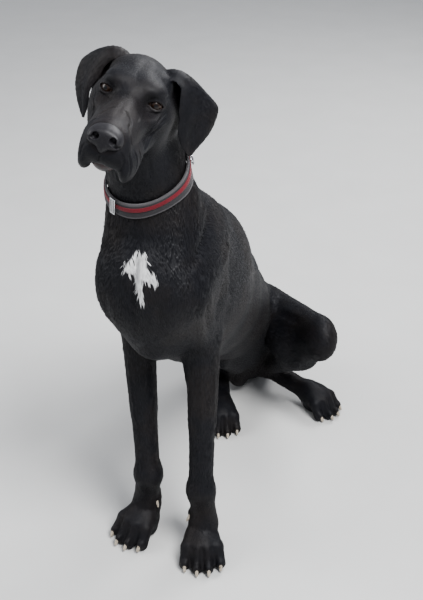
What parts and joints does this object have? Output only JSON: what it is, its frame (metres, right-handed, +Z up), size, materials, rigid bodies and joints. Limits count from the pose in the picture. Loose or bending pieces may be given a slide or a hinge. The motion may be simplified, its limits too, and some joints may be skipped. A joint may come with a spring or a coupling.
{
  "type": "life-size model of a sitting great dane",
  "caption": "Life-size still model of a sitting great dane with drop ears, a webbing collar and the tail along the floor.",
  "frame": {"origin": "on the floor, in the middle of the model's box", "axes": "+Z up, the dog's chest faces -Y and its left side is +X"},
  "size_m": [0.476, 1.3012, 0.9984],
  "materials": {
    "coat": "short glossy black fur with a white patch on the chest",
    "nose": "moist black pebbled skin",
    "eye": "wet dark brown eye",
    "claw": "pale grey horn",
    "webbing": "dark grey woven nylon with paler edges",
    "red_webbing": "red woven nylon",
    "steel": "polished steel"
  },
  "bodies": {
    "root": {"collar_band": "webbing", "collar_loop": "steel", "collar_ring": "steel", "collar_slide": "steel", "collar_stripe": "red_webbing", "ear_left": "coat", "ear_right": "coat", "eye_left": "eye", "eye_right": "eye", "foreleg_left": "coat", "foreleg_right": "coat", "forepaw_left": "coat", "forepaw_left_claw_1": "claw", "forepaw_left_claw_2": "claw", "forepaw_left_claw_3": "claw", "forepaw_left_claw_4": "claw", "forepaw_left_dewclaw": "claw", "forepaw_right": "coat", "forepaw_right_claw_1": "claw", "forepaw_right_claw_2": "claw", "forepaw_right_claw_3": "claw", "forepaw_right_claw_4": "claw", "forepaw_right_dewclaw": "claw", "head": "coat", "hindfoot_left": "coat", "hindfoot_left_claw_1": "claw", "hindfoot_left_claw_2": "claw", "hindfoot_left_claw_3": "claw", "hindfoot_left_claw_4": "claw", "hindfoot_right": "coat", "hindfoot_right_claw_1": "claw", "hindfoot_right_claw_2": "claw", "hindfoot_right_claw_3": "claw", "hindfoot_right_claw_4": "claw", "lower_jaw": "coat", "neck": "coat", "nose": "nose", "shank_left": "coat", "shank_right": "coat", "tail_middle": "coat", "tail_root": "coat", "tail_tip": "coat", "thigh_left": "coat", "thigh_right": "coat", "torso": "coat"}
  },
  "joints": []
}
